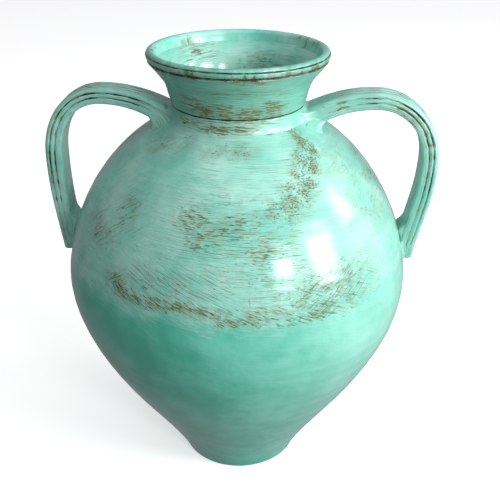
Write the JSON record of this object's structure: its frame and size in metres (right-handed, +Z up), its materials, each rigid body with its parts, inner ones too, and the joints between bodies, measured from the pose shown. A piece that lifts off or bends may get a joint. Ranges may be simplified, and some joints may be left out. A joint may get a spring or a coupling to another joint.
{
  "type": "amphora",
  "caption": "Tall round-bellied earthenware jar with a small flat foot, flared neck, rounded lip and strap handles from neck to belly, in worn turquoise paint.",
  "frame": {"origin": "centre of the flat resting face under the foot", "axes": "+Z up along the pot's axis, +X through the right handle, +Y away from the front"},
  "size_m": [0.4308, 0.3838, 0.5],
  "materials": {
    "teal_wash": "smooth teal paint under a clear varnish, faintly mottled and scratched",
    "brushed_turquoise": "pale turquoise dry-brushed over brown, varnished to a soft gloss",
    "handle_turquoise": "pale turquoise with brown showing in the lengthwise grooves, varnished"
  },
  "bodies": {
    "root": {"foot": "teal_wash", "lower_bowl": "teal_wash", "belly_band": "teal_wash", "upper_dome": "brushed_turquoise", "neck_collar": "brushed_turquoise", "flared_neck": "brushed_turquoise", "rim_coil": "brushed_turquoise", "right_handle": "handle_turquoise", "right_upper_lute": "handle_turquoise", "right_lower_lute": "handle_turquoise", "left_handle": "handle_turquoise", "left_upper_lute": "handle_turquoise", "left_lower_lute": "handle_turquoise"}
  },
  "joints": []
}
